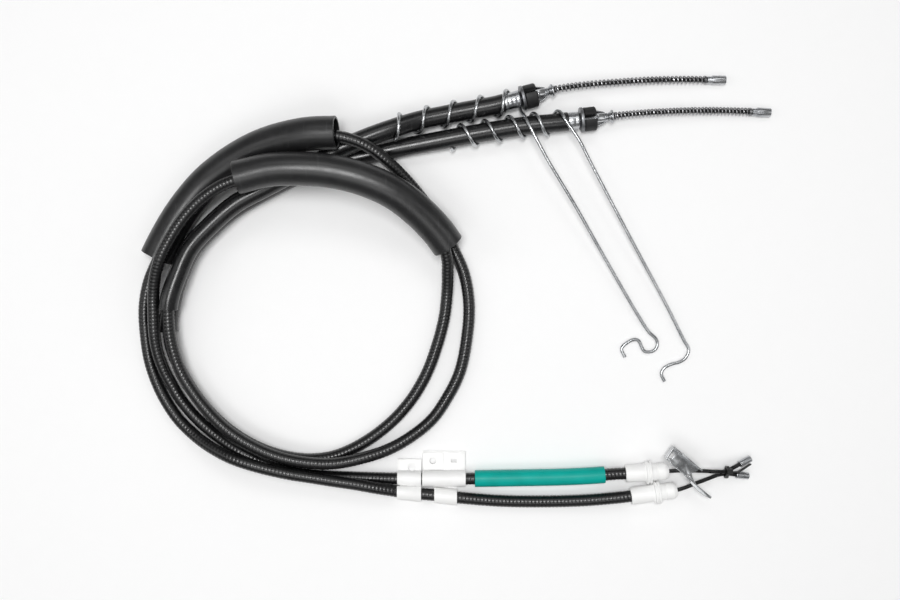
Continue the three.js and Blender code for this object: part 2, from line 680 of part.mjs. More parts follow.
// Guide clip: long saddle on cable B with a tab, and a strap round cable A
function guideClip() {
  const centreX = -9.1;
  const half = guideLength / 2;
  const onA = a.route.at(lengthAtX(a.route, centreX));
  const onB = b.route.at(lengthAtX(b.route, centreX));
  const outer = socketRadius + clipWall;
  const tabEdge = onB.y + conduitRadius + guideTabReach;
  const padY = onB.y + outer + 0.6;
  const pad = boxBetween([centreX - half, padY, guideTabThickness - 1],
    [centreX, tabEdge - 1, guideTabThickness + guidePadThickness]);
  const holeY = onB.y + conduitRadius + guideTabReach * 0.55;
  const hole = upright(disc(centreX - half * 0.52, holeY, guideHoleDiameter / 2), 20).translate(0, 0, -5);
  const slot = boxBetween([centreX + half * 0.47 - guideSlotLength / 2, holeY - guideSlotWidth / 2, -5],
    [centreX + half * 0.47 + guideSlotLength / 2, holeY + guideSlotWidth / 2, 15]);
  const strapHalf = guideStrapLength / 2;
  const strapX = centreX + 1.4;
  const body = join(
    alongX(saddle(onB), guideLength).translate(centreX, 0, 0),
    boxBetween([centreX - half, onB.y, 0], [centreX + half, tabEdge, guideTabThickness]),
    alongX(saddle(onA), guideStrapLength).translate(strapX, 0, 0),
    boxBetween([strapX - strapHalf, onA.y, 0], [strapX + strapHalf, onB.y, guideTabThickness]),
    pad,
  );
  const spaces = [a, b].map((cable) => conduitSpace(cable, centreX - half - 6, centreX + half + 6));
  addPiece(set, 'guide_clip', cut(body, hole, slot, ...spaces), 'whitePlastic');
}

// Folded steel lever that lies across both wires: plate, two upturned flanges and a tail
function steelLever() {
  const plate = new THREE.Shape([
    new THREE.Vector2(181, -128), new THREE.Vector2(187, -131), new THREE.Vector2(206, -148.5),
    new THREE.Vector2(204.5, -160), new THREE.Vector2(215.5, -173), new THREE.Vector2(213.5, -173.5),
    new THREE.Vector2(200, -163.5), new THREE.Vector2(191, -152.5), new THREE.Vector2(180.5, -144),
    new THREE.Vector2(174.5, -137.5),
  ].reverse());
  const hole = new THREE.Path();
  hole.absarc(180.5, -136.5, leverHoleDiameter / 2, 0, 2 * Math.PI, true);
  plate.holes.push(hole);
  const flangeAlong = (from, to, height) => {
    const run = new THREE.Vector2().subVectors(to, from);
    const inward = new THREE.Vector2(run.y, -run.x).setLength(sheetThickness);
    const outline = new THREE.Shape([
      from, to, to.clone().add(inward), from.clone().add(inward)].reverse());
    return upright(outline, height);
  };
  const corner = (x, y) => new THREE.Vector2(x, y);
  const body = join(
    upright(plate, sheetThickness),
    flangeAlong(corner(187, -131), corner(206, -148.5), leverFlangeHeight),
    flangeAlong(corner(174.5, -137.5), corner(181, -128), leverFlangeHeight),
    flangeAlong(corner(191, -152.5), corner(180.5, -144), leverFlangeHeight * 0.6),
  );
  const mesh = addPiece(set, 'steel_lever', body, 'zinc');
  const underB = b.route.at(lengthAtX(b.route, 195));
  mesh.position.z = underB.z + wireRadius + seatGap;
}

// Cable tie round both wires just before the nipples: band, head on top and a free tail
function cableTie() {
  const x = 229;
  const onA = a.route.at(lengthAtX(a.route, x));
  const onB = b.route.at(lengthAtX(b.route, x));
  const lean = Math.atan2(onB.z - onA.z, onB.y - onA.y);
  const inner = wireRadius + tiePlay;
  const loop = (radius) => {
    const shape = new THREE.Shape();
    shape.absarc(onB.y, onB.z, radius, lean - Math.PI / 2, lean + Math.PI / 2, false);
    shape.absarc(onA.y, onA.z, radius, lean + Math.PI / 2, lean + (3 * Math.PI) / 2, false);
    return shape;
  };
  const band = cut(alongX(loop(inner + tieThickness), tieWidth), alongX(loop(inner), tieWidth + 2));
  const headBase = onB.z + inner + tieThickness / 2;
  const head = boxBetween([-tieWidth / 2, onB.y - tieHeadSize / 2, headBase],
    [tieHeadSize - tieWidth / 2, onB.y + tieHeadSize / 2, headBase + tieHeadSize * 0.7]);
  const start = [1, onB.y - 0.6, headBase + tieHeadSize * 0.4];
  const run = new Route([start, ...tieTail.map(([dx, dy, z]) => [dx, onB.y + dy, z])]);
  const strip = new THREE.Shape([
    new THREE.Vector2(-tieThickness / 2, -tieWidth / 2), new THREE.Vector2(tieThickness / 2, -tieWidth / 2),
    new THREE.Vector2(tieThickness / 2, tieWidth / 2), new THREE.Vector2(-tieThickness / 2, tieWidth / 2),
  ]);
  const tail = sweep(strip, new Stretch(run, placeStations(run, [0, run.total]), 0, run.total));
  const mesh = addPiece(set, 'cable_tie', join(band, head, tail), 'blackPlastic');
  mesh.position.x = x;
}

twinClip();
guideClip();
steelLever();
cableTie();

export default set;
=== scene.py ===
"""Looks for the parking brake cable: camera, floor, light, materials and the finely shaped pieces.

Metres, in the frame of the CAD part: +Z up, the set lying on z = 0 and centred on the origin.
"""

import math

import bmesh
import bpy
import numpy as np
from mathutils import Matrix, Vector


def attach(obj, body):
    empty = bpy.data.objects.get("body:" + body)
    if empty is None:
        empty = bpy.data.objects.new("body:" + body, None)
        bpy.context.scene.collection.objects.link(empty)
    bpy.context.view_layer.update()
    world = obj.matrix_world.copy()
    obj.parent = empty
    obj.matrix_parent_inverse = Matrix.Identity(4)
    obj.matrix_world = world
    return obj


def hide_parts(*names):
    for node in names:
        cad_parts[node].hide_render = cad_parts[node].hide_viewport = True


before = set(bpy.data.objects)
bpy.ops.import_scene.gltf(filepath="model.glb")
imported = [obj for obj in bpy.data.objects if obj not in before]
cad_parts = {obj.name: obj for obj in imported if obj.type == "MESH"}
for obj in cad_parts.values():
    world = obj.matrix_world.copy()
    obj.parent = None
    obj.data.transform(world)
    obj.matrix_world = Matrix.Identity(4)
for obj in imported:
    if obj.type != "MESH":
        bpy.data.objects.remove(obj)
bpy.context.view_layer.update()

UP = np.array([0.0, 0.0, 1.0])

# Sizes that the CAD part has too
GAP = 0.0003
WIRE_R = 0.0017
WIRE_BORE_R = 0.0023
CONDUIT_R = 0.005
SOCKET_R = 0.0053
TUBE_R = 0.0078
SLEEVE_BORE_R = 0.0114
SLEEVE_R = 0.0137
COLOUR_SLEEVE_R = 0.007
COLLAR_BORE_R = 0.0043
NIPPLE_END = 0.0156
NOSE_REACH = 0.0106
COLLAR_LENGTH = 0.0105
WASHER_THICKNESS = 0.0024
SHELL_FLOOR = 0.003
FITTING_LENGTH = 0.036
CLIP_R = SOCKET_R + 0.0014
HOOK_WIRE_R = 0.0014
HOOK_COIL_R = TUBE_R + 0.0005 + HOOK_WIRE_R

# Centre lines, from the wheel nipple to the lever nipple, then the loose sleeves and hook arms
ROUTE_A = [
    (0.229, 0.1785, 0.004), (0.213, 0.1785, 0.0044), (0.173, 0.178, 0.006), (0.135, 0.1755, 0.008),
    (0.104, 0.1725, 0.0093), (0.086, 0.1694, 0.0105), (0.08, 0.1678, 0.0106), (0.04, 0.1574, 0.0112),
    (0.033, 0.1556, 0.0113), (0.011, 0.1515, 0.0114), (-0.009, 0.1475, 0.012), (-0.031, 0.1425, 0.0138),
    (-0.051, 0.1355, 0.0184), (-0.071, 0.128, 0.0203), (-0.092, 0.119, 0.0212), (-0.111, 0.109, 0.0234),
    (-0.13, 0.099, 0.0241), (-0.157, 0.085, 0.0242), (-0.181, 0.072, 0.0242), (-0.202, 0.054, 0.0242),
    (-0.219, 0.035, 0.0242), (-0.229, 0.013, 0.0242), (-0.236, -0.009, 0.0242),
    (-0.237, -0.026, 0.0225), (-0.235, -0.045, 0.02), (-0.228, -0.068, 0.017), (-0.212, -0.093, 0.0163),
    (-0.192, -0.114, 0.017), (-0.171, -0.128, 0.0173), (-0.148, -0.138, 0.0168),
    (-0.125, -0.143, 0.0158), (-0.102, -0.144, 0.0156), (-0.079, -0.14, 0.0145),
    (-0.056, -0.133, 0.011), (-0.036, -0.122, 0.008), (-0.019, -0.108, 0.0056), (-0.007, -0.091, 0.005),
    (0.004, -0.069, 0.005), (0.01, -0.041, 0.005), (0.012, -0.012, 0.005), (0.008, 0.014, 0.005),
    (-0.001, 0.035, 0.0053), (-0.011, 0.054, 0.0065), (-0.021, 0.069, 0.0105), (-0.032, 0.083, 0.016),
    (-0.043, 0.095, 0.022), (-0.055, 0.106, 0.028), (-0.068, 0.116, 0.032), (-0.082, 0.1225, 0.0345),
    (-0.1, 0.1265, 0.035), (-0.125, 0.126, 0.0315), (-0.165, 0.117, 0.0212), (-0.202, 0.095, 0.012),
    (-0.226, 0.069, 0.0094), (-0.241, 0.046, 0.0086), (-0.25, 0.026, 0.0082), (-0.258, 0.008, 0.0061),
    (-0.262, -0.013, 0.005), (-0.261, -0.037, 0.005), (-0.257, -0.061, 0.005), (-0.248, -0.085, 0.005),
    (-0.235, -0.106, 0.0055), (-0.223, -0.118, 0.0074), (-0.212, -0.126, 0.011),
    (-0.199, -0.133, 0.016), (-0.185, -0.139, 0.02), (-0.17, -0.144, 0.021), (-0.154, -0.1485, 0.0198),
    (-0.137, -0.1525, 0.018), (-0.119, -0.1555, 0.017), (-0.101, -0.1585, 0.0162),
    (-0.082, -0.1615, 0.0154), (-0.067, -0.1645, 0.014), (-0.054, -0.167, 0.0116),
    (-0.044, -0.169, 0.009), (-0.034, -0.1705, 0.0072), (-0.017, -0.172, 0.0067),
    (0.002, -0.174, 0.0067), (0.038, -0.177, 0.006), (0.08, -0.1775, 0.006), (0.114, -0.176, 0.0076),
    (0.14, -0.1732, 0.0098), (0.147, -0.1723, 0.01), (0.172, -0.1689, 0.0108), (0.179, -0.168, 0.011),
    (0.19, -0.166, 0.011), (0.203, -0.1612, 0.01), (0.2135, -0.1578, 0.0082), (0.222, -0.155, 0.0068),
    (0.23, -0.1542, 0.0058), (0.237, -0.155, 0.005), (0.247, -0.1562, 0.0042),
]
ROUTE_B = [
    (0.267, 0.151, 0.004), (0.253, 0.1515, 0.0044), (0.215, 0.152, 0.0062), (0.183, 0.151, 0.008),
    (0.152, 0.1488, 0.0098), (0.136, 0.147, 0.0105), (0.129, 0.1462, 0.0106), (0.093, 0.142, 0.0112),
    (0.086, 0.1412, 0.0113), (0.055, 0.138, 0.0113), (0.021, 0.1325, 0.0113), (-0.012, 0.1265, 0.0109),
    (-0.048, 0.12, 0.0089), (-0.079, 0.113, 0.008), (-0.105, 0.106, 0.008), (-0.133, 0.097, 0.008),
    (-0.16, 0.084, 0.008), (-0.186, 0.069, 0.008), (-0.206, 0.052, 0.008), (-0.222, 0.034, 0.008),
    (-0.233, 0.01, 0.008), (-0.239, -0.012, 0.008), (-0.241, -0.031, 0.0083), (-0.239, -0.048, 0.007),
    (-0.232, -0.066, 0.0054), (-0.215, -0.093, 0.005), (-0.198, -0.111, 0.005), (-0.18, -0.1245, 0.005),
    (-0.16, -0.1345, 0.005), (-0.139, -0.1405, 0.005), (-0.119, -0.142, 0.005),
    (-0.099, -0.1385, 0.005), (-0.076, -0.1275, 0.005), (-0.054, -0.111, 0.005),
    (-0.037, -0.092, 0.005), (-0.024, -0.07, 0.005), (-0.015, -0.046, 0.005), (-0.009, -0.023, 0.0052),
    (-0.0065, -0.002, 0.0068), (-0.006, 0.014, 0.012), (-0.0065, 0.027, 0.0175),
    (-0.012, 0.043, 0.0235), (-0.028, 0.062, 0.0295), (-0.047, 0.078, 0.035), (-0.075, 0.09, 0.039),
    (-0.1, 0.0955, 0.0406), (-0.125, 0.097, 0.041), (-0.154, 0.095, 0.0406), (-0.176, 0.0905, 0.04),
    (-0.192, 0.084, 0.039), (-0.209, 0.072, 0.0372), (-0.223, 0.057, 0.0355), (-0.2335, 0.041, 0.034),
    (-0.2415, 0.026, 0.032), (-0.247, 0.011, 0.027), (-0.2495, -0.004, 0.0226), (-0.25, -0.019, 0.0203),
    (-0.25, -0.035, 0.018), (-0.2485, -0.05, 0.0148), (-0.244, -0.066, 0.0113),
    (-0.238, -0.079, 0.0085), (-0.232, -0.09, 0.0068), (-0.223, -0.102, 0.0056),
    (-0.212, -0.113, 0.0058), (-0.2, -0.1225, 0.0074), (-0.189, -0.13, 0.0098),
    (-0.179, -0.1355, 0.0114), (-0.168, -0.141, 0.0106), (-0.156, -0.1465, 0.0072),
    (-0.143, -0.1515, 0.0053), (-0.126, -0.155, 0.005), (-0.105, -0.1567, 0.005),
    (-0.083, -0.1575, 0.005), (-0.065, -0.158, 0.0052), (-0.048, -0.1582, 0.0062),
    (-0.025, -0.1582, 0.0067), (-0.007, -0.1582, 0.0067), (0.017, -0.158, 0.0072),
    (0.055, -0.1573, 0.0078), (0.089, -0.1565, 0.0084), (0.114, -0.1552, 0.0094),
    (0.136, -0.1536, 0.0098), (0.144, -0.1532, 0.01), (0.171, -0.1516, 0.0108), (0.178, -0.1512, 0.011),
    (0.188, -0.1506, 0.0112), (0.207, -0.1508, 0.0114), (0.218, -0.1514, 0.0112),
    (0.226, -0.1515, 0.0104), (0.231, -0.15, 0.0092), (0.239, -0.1465, 0.0074),
    (0.2485, -0.142, 0.0054),
]
SLEEVE_A = [
    (-0.096, 0.1282, 0.0396), (-0.124, 0.127, 0.0366), (-0.164, 0.1175, 0.0264),
    (-0.202, 0.095, 0.0172), (-0.226, 0.069, 0.0144), (-0.241, 0.045, 0.0139), (-0.2495, 0.028, 0.0136),
]
SLEEVE_B = [
    (-0.0055, 0.0375, 0.0236), (-0.0145, 0.0495, 0.028), (-0.03, 0.065, 0.034), (-0.049, 0.079, 0.04),
    (-0.074, 0.09, 0.0442), (-0.099, 0.096, 0.0462), (-0.125, 0.098, 0.0466), (-0.15, 0.097, 0.0462),
    (-0.176, 0.091, 0.0456),
]
ARM_A = [
    (0.056, 0.1505, 0.0095), (0.0575, 0.147, 0.0155), (0.059, 0.1425, 0.0206), (0.062, 0.1365, 0.0224),
    (0.067, 0.127, 0.022), (0.077, 0.109, 0.02), (0.1, 0.072, 0.0155), (0.126, 0.028, 0.0095),
    (0.153, -0.017, 0.004), (0.165, -0.035, 0.0018), (0.17, -0.0395, 0.0016), (0.172, -0.044, 0.0015),
    (0.1705, -0.049, 0.0015), (0.166, -0.0515, 0.0015), (0.161, -0.051, 0.0015),
    (0.1585, -0.047, 0.0015), (0.156, -0.042, 0.0015), (0.1525, -0.041, 0.0015),
    (0.1445, -0.045, 0.0015), (0.1415, -0.049, 0.0015), (0.1445, -0.056, 0.0015),
]
ARM_B = [
    (0.104, 0.124, 0.0198), (0.113, 0.107, 0.0178), (0.147, 0.045, 0.0115), (0.181, -0.016, 0.005),
    (0.1945, -0.042, 0.0022), (0.1985, -0.049, 0.0016), (0.198, -0.0525, 0.0015),
    (0.1955, -0.057, 0.0015), (0.191, -0.06, 0.0015), (0.183, -0.0623, 0.0015),
    (0.1775, -0.0655, 0.0015), (0.1753, -0.07, 0.0015), (0.178, -0.0765, 0.0015),
]


class Path:
    """Centripetal Catmull-Rom curve through points, measured by its length from the first one."""

    def __init__(self, points, steps=24):
        p = [np.array(q, float) for q in points]
        q = [2 * p[0] - p[1], *p, 2 * p[-1] - p[-2]]
        line = []
        for p0, p1, p2, p3 in zip(q, q[1:], q[2:], q[3:]):
            d0, d1, d2 = (
                max(np.dot(b - a, b - a) ** 0.25, 1e-6) for a, b in ((p0, p1), (p1, p2), (p2, p3))
            )
            m1 = ((p1 - p0) / d0 - (p2 - p0) / (d0 + d1) + (p2 - p1) / d1) * d1
            m2 = ((p2 - p1) / d1 - (p3 - p1) / (d1 + d2) + (p3 - p2) / d2) * d1
            for k in range(steps):
                t = k / steps
                line.append(
                    p1 + m1 * t + (3 * (p2 - p1) - 2 * m1 - m2) * t * t
                    + (2 * (p1 - p2) + m1 + m2) * t ** 3
                )
        line.append(p[-1])
        self.line = np.array(line)
        gaps = np.linalg.norm(np.diff(self.line, axis=0), axis=1)
        self.lengths = np.concatenate([[0], np.cumsum(gaps)])
        self.total = float(self.lengths[-1])

    def at(self, s):
        return np.stack([np.interp(s, self.lengths, self.line[:, k]) for k in range(3)], axis=-1)

    def heading(self, s, reach=0.0008):
        d = self.at(np.asarray(s) + reach) - self.at(np.asarray(s) - reach)
        return d / np.linalg.norm(d, axis=-1, keepdims=True)

    def length_at_x(self, x):
        """Length where the last run towards the lever passes this x."""
        return float(self.lengths[np.nonzero(self.line[:, 0] <= x)[0][-1]])


def frames_on(path, s):
    """Points, sideways and upward directions of a sweep that never rolls."""
    along = path.heading(s)
    side = np.cross(UP, along)
    side /= np.linalg.norm(side, axis=1, keepdims=True)
    return path.at(s), side, np.cross(along, side)


def carried_frames(points):
    """Frames along a line that turns every way, such as a coil, each carried on from the last."""
    along = np.gradient(points, axis=0)
    along /= np.linalg.norm(along, axis=1, keepdims=True)
    side = np.cross(along[0], UP if abs(along[0][2]) < 0.9 else np.array([1.0, 0, 0]))
    sides = []
    for t in along:
        side = side - np.dot(side, t) * t
        side /= np.linalg.norm(side)
        sides.append(side)
    sides = np.array(sides)
    return points, sides, np.cross(along, sides)


def new_object(name, verts, faces, material, uv=None):
    mesh = bpy.data.meshes.new(name)
    mesh.from_pydata([tuple(v) for v in verts], [], faces)
    if uv is not None:
        layer = mesh.uv_layers.new(name="UVMap")
        flat = np.array(uv)[[i for f in faces for i in f]].ravel()
        layer.data.foreach_set("uv", flat)
    mesh.update()
    obj = bpy.data.objects.new(name, mesh)
    bpy.context.scene.collection.objects.link(obj)
    obj.data.materials.append(material)
    smooth(obj)
    return obj


def smooth(obj, angle=32):
    obj.data.shade_smooth()
    obj.data.set_sharp_from_angle(angle=math.radians(angle))


def tube(name, framed, lengths, radius, sides, material, bore=None, lip=0.0):
    """Sweeps a ring along frames. radius and bore are numbers or functions of length and angle.

    A lip softens the edges at both ends.
    """
    points, across, up = framed
    angle = np.arange(sides) * 2 * math.pi / sides
    last = len(points) - 1

    def ring(i, r, shift=0.0):
        base = points[i] + np.cross(across[i], up[i]) * shift
        r = np.broadcast_to(r(lengths[i], angle) if callable(r) else r, (sides,))
        return (
            base + across[i] * (r * np.cos(angle))[:, None] + up[i] * (r * np.sin(angle))[:, None],
            [(lengths[i] + shift, a / (2 * math.pi)) for a in angle],
        )

    def lipped(i, r, outward, narrower):
        cut = narrower * lip * 0.7
        soft = (lambda s, a: r(s, a) - cut) if callable(r) else r - cut
        return [ring(i, soft), ring(i, r, -outward * lip)]

    def wall(r, narrower):
        """Rings of the outside or the bore, from the first end to the last."""
        if not lip:
            return [ring(i, r) for i in range(last + 1)]
        return [*lipped(0, r, -1, narrower), *(ring(i, r) for i in range(1, last)),
                *lipped(last, r, 1, narrower)[::-1]]

    rings = wall(radius, 1)
    if bore is not None:
        rings += wall(bore, -1)[::-1]
    verts = np.concatenate([r[0] for r in rings])
    uv = [q for r in rings for q in r[1]]
    faces = []
    count = len(rings)
    for i in range(count if bore is not None else count - 1):
        a, b = i * sides, ((i + 1) % count) * sides
        for k in range(sides):
            n = (k + 1) % sides
            faces.append((a + k, a + n, b + n, b + k))
    if bore is None:
        faces.append(tuple(range(sides))[::-1])
        faces.append(tuple(range((count - 1) * sides, count * sides)))
    return new_object(name, verts, faces, material, uv)


def spaced(start, end, step):
    return np.linspace(start, end, max(int(math.ceil((end - start) / step)), 2) + 1)


def on_path(path, start, end):
    """Matrix that sets a turned piece on a path: its axis along +Y, its local +Z up."""
    p, q = path.at(start), path.at(end)
    along = Vector(q - p).normalized()
    side = along.cross(Vector((0, 0, 1))).normalized()
    up = side.cross(along)
    m = Matrix((side, along, up)).transposed().to_4x4()
    m.translation = Vector(p)
    return m


def turned(name, outline, matrix, material, segments=64):
    """Turned piece from a closed outline of (along, radius), its axis on the matrix's Y."""
    n = len(outline)
    verts, uv = [], []
    for k in range(segments):
        a = 2 * math.pi * k / segments
        for along, r in outline:
            verts.append((r * math.sin(a), along, r * math.cos(a)))
            uv.append((along, k / segments))
    faces = []
    for k in range(segments):
        j = (k + 1) % segments
        for i in range(n):
            m = (i + 1) % n
            if outline[i][1] == 0 and outline[m][1] == 0:
                continue
            faces.append((k * n + i, k * n + m, j * n + m, j * n + i))
    obj = new_object(name, verts, faces, material, uv)
    clean(obj.data)
    obj.data.transform(matrix)
    return obj


def clean(mesh):
    bm = bmesh.new()
    bm.from_mesh(mesh)
    bmesh.ops.remove_doubles(bm, verts=bm.verts, dist=1e-6)
    bmesh.ops.dissolve_degenerate(bm, edges=bm.edges, dist=1e-7)
    bmesh.ops.recalc_face_normals(bm, faces=bm.faces)
    bm.to_mesh(mesh)
    bm.free()


def rounded(outline, radius, steps=3):
    """Rounds each corner of a closed outline; a corner on the axis stays sharp."""
    made = []
    n = len(outline)
    for i, point in enumerate(outline):
        p = np.array(point)
        a = np.array(outline[i - 1]) - p
        b = np.array(outline[(i + 1) % n]) - p
        la, lb = np.linalg.norm(a), np.linalg.norm(b)
        r = min(radius, la * 0.45, lb * 0.45)
        if point[1] == 0 or abs(np.dot(a, b)) > 0.97 * la * lb:
            made.append(point)
            continue
        start, end = p + a / la * r, p + b / lb * r
        for k in range(steps + 1):
            t = k / steps
            made.append(tuple((1 - t) ** 2 * start + 2 * t * (1 - t) * p + t * t * end))
    return made


def prism(name, outline, low, high, material=None):
    """Upright prism from a closed outline in x and y."""
    n = len(outline)
    verts = [(x, y, low) for x, y in outline] + [(x, y, high) for x, y in outline]
    faces = [tuple(range(n)), tuple(range(n, 2 * n))]
    faces += [(i, (i + 1) % n, (i + 1) % n + n, i + n) for i in range(n)]
    obj = new_object(name, verts, faces, material or MATERIALS["white_plastic"])
    clean(obj.data)
    return obj


def block(name, low, high):
    (x0, y0, z0), (x1, y1, z1) = low, high
    return prism(name, [(x0, y0), (x1, y0), (x1, y1), (x0, y1)], z0, z1)


def circle(x, y, r, count=48):
    step = 2 * math.pi / count
    return [(x + r * math.cos(i * step), y + r * math.sin(i * step)) for i in range(count)]


def apply_modifiers(obj):
    graph = bpy.context.evaluated_depsgraph_get()
    mesh = bpy.data.meshes.new_from_object(obj.evaluated_get(graph))
    obj.modifiers.clear()
    old, obj.data = obj.data, mesh
    bpy.data.meshes.remove(old)


def combine(obj, others, operation):
    """Joins other solids to a solid or cuts them from it, and removes them."""
    for other in others:
        step = obj.modifiers.new("solid", "BOOLEAN")
        step.operation = operation
        step.solver = "EXACT"
        step.object = other
        apply_modifiers(obj)
        mesh = other.data
        bpy.data.objects.remove(other)
        bpy.data.meshes.remove(mesh)
    return obj


def bevelled(obj, width, segments=3, angle=32):
    step = obj.modifiers.new("bevel", "BEVEL")
    step.width = width
    step.segments = segments
    step.limit_method = "ANGLE"
    step.angle_limit = math.radians(angle)
    step.harden_normals = False
    apply_modifiers(obj)
    smooth(obj, 40)
    return obj


def shader(name, colour, dark, roughness, spread, metallic=0.0, grain=900.0, relief=0.08, **own):
    """Material with clouds between two colours, uneven roughness and a fine grain, and its kit."""
    mat = bpy.data.materials.new(name)
    mat.use_nodes = True
    nodes, links = mat.node_tree.nodes, mat.node_tree.links
    bsdf = nodes["Principled BSDF"]
    bsdf.inputs["Metallic"].default_value = metallic
    for socket, value in own.items():
        bsdf.inputs[socket.replace("_", " ")].default_value = value
    place = nodes.new("ShaderNodeTexCoord")

    def noise(scale, detail, stretch=(1, 1, 1), source="Object"):
        turn = nodes.new("ShaderNodeMapping")
        turn.inputs["Scale"].default_value = stretch
        links.new(place.outputs[source], turn.inputs["Vector"])
        tex = nodes.new("ShaderNodeTexNoise")
        tex.inputs["Scale"].default_value = scale
        tex.inputs["Detail"].default_value = detail
        links.new(turn.outputs["Vector"], tex.inputs["Vector"])
        return tex.outputs["Fac"]

    def ramp(value, low, high, a, b):
        node = nodes.new("ShaderNodeValToRGB")
        node.color_ramp.elements[0].position = low
        node.color_ramp.elements[1].position = high
        node.color_ramp.elements[0].color = (*a, 1)
        node.color_ramp.elements[1].color = (*b, 1)
        links.new(value, node.inputs["Fac"])
        return node.outputs["Color"]

    def spread_over(value, low, high):
        node = nodes.new("ShaderNodeMapRange")
        node.inputs["From Min"].default_value = 0.3
        node.inputs["From Max"].default_value = 0.7
        node.inputs["To Min"].default_value = low
        node.inputs["To Max"].default_value = high
        links.new(value, node.inputs["Value"])
        return node.outputs["Result"]

    def bump(height, strength, distance, after=None):
        node = nodes.new("ShaderNodeBump")
        node.inputs["Strength"].default_value = strength
        node.inputs["Distance"].default_value = distance
        links.new(height, node.inputs["Height"])
        if after is not None:
            links.new(after, node.inputs["Normal"])
        return node.outputs["Normal"]

    cloud = noise(70, 4)
    fine = noise(grain, 5)
    links.new(ramp(cloud, 0.32, 0.68, dark, colour), bsdf.inputs["Base Color"])
    links.new(spread_over(noise(160, 3), roughness - spread, roughness + spread),
              bsdf.inputs["Roughness"])
    normal = bump(fine, relief, 0.0002)
    links.new(normal, bsdf.inputs["Normal"])
    return mat, dict(nodes=nodes, links=links, bsdf=bsdf, noise=noise, bump=bump, ramp=ramp,
                     normal=normal)


def plain(*args, **kwargs):
    return shader(*args, **kwargs)[0]


def scuffed(name, colour, dark, roughness, spread, mark, marks=0.62, **own):
    """A plastic with faint long scuffs that catch the light."""
    mat, kit = shader(name, colour, dark, roughness, spread, **own)
    streak = kit["noise"](120, 6, (3.5, 0.35, 1))
    line = kit["ramp"](streak, marks, marks + 0.05, (0, 0, 0), (1, 1, 1))
    mix = kit["nodes"].new("ShaderNodeMix")
    mix.data_type = "RGBA"
    mix.inputs["B"].default_value = (*mark, 1)
    base = kit["bsdf"].inputs["Base Color"].links[0].from_socket
    kit["links"].new(line, mix.inputs["Factor"])
    kit["links"].new(base, mix.inputs["A"])
    kit["links"].new(mix.outputs["Result"], kit["bsdf"].inputs["Base Color"])
    return mat


def brushed(name, colour, dark, roughness, spread, stretch, **own):
    """Metal with fine tool or plating marks that run round the piece."""
    mat, kit = shader(name, colour, dark, roughness, spread, metallic=1.0, **own)
    grain = kit["noise"](260, 6, stretch, "UV")
    kit["links"].new(kit["bump"](grain, 0.16, 0.00012, kit["normal"]), kit["bsdf"].inputs["Normal"])
    return mat


MATERIALS = {
    "conduit": plain("conduit_black", (0.0055, 0.0055, 0.006), (0.003, 0.003, 0.0032), 0.30, 0.06,
                     grain=1400, relief=0.10, Specular_IOR_Level=0.6),
    "tube": scuffed("tube_black", (0.006, 0.006, 0.0065), (0.0035, 0.0035, 0.004), 0.28, 0.05,
                    (0.010, 0.010, 0.0105), grain=700, relief=0.05, Specular_IOR_Level=0.6),
    "sleeve": scuffed("sleeve_black", (0.014, 0.014, 0.0145), (0.008, 0.008, 0.0085), 0.35, 0.05,
                      (0.020, 0.020, 0.021), grain=1100, relief=0.08, Specular_IOR_Level=0.6),
    "rubber": plain("collar_rubber", (0.014, 0.014, 0.0145), (0.007, 0.007, 0.0075), 0.52, 0.08,
                    grain=1600, relief=0.18, Specular_IOR_Level=0.4),
    "coat": plain("wire_coat", (0.008, 0.008, 0.0085), (0.004, 0.004, 0.0045), 0.30, 0.06,
                  grain=1800, relief=0.08, Specular_IOR_Level=0.4),
    "teal": plain("teal_plastic", (0.0, 0.38, 0.325), (0.0, 0.33, 0.28), 0.40, 0.05,
                  grain=900, relief=0.05, Specular_IOR_Level=0.2),
    "white_plastic": plain("white_plastic", (0.93, 0.93, 0.925), (0.88, 0.88, 0.87), 0.42, 0.05,
                           grain=800, relief=0.05),
    "zinc": brushed("zinc_plate", (0.60, 0.61, 0.62), (0.40, 0.41, 0.43), 0.26, 0.08,
                    (300, 2, 1), grain=1300, relief=0.10),
    "bright_wire": brushed("bright_wire", (0.56, 0.57, 0.58), (0.34, 0.35, 0.36), 0.24, 0.07,
                           (20, 1, 1), grain=1500, relief=0.08),
    "spring_steel": brushed("spring_steel", (0.50, 0.50, 0.51), (0.30, 0.30, 0.31), 0.28, 0.07,
                            (20, 1, 1), grain=1500, relief=0.10),
    "washer": plain("washer_zinc", (0.30, 0.31, 0.32), (0.18, 0.18, 0.19), 0.40, 0.08,
                    metallic=1.0, grain=1100, relief=0.14),
    "tie": plain("tie_black", (0.010, 0.010, 0.0105), (0.005, 0.005, 0.005), 0.36, 0.05,
                 grain=1400, relief=0.10),
}


def stand_for(obj, node):
    """Lets a piece ride on the part and stand for a CAD node, which it hides."""
    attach(obj, "root")
    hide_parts(node)


# Camera: straight down, as the photograph was taken
camera_data = bpy.data.cameras.new("camera")
camera_data.lens = 40
camera_data.sensor_width = 36
camera = bpy.data.objects.new("camera", camera_data)
camera.location = (-0.004, -0.0075, 0.85)
bpy.context.scene.collection.objects.link(camera)
bpy.context.scene.camera = camera

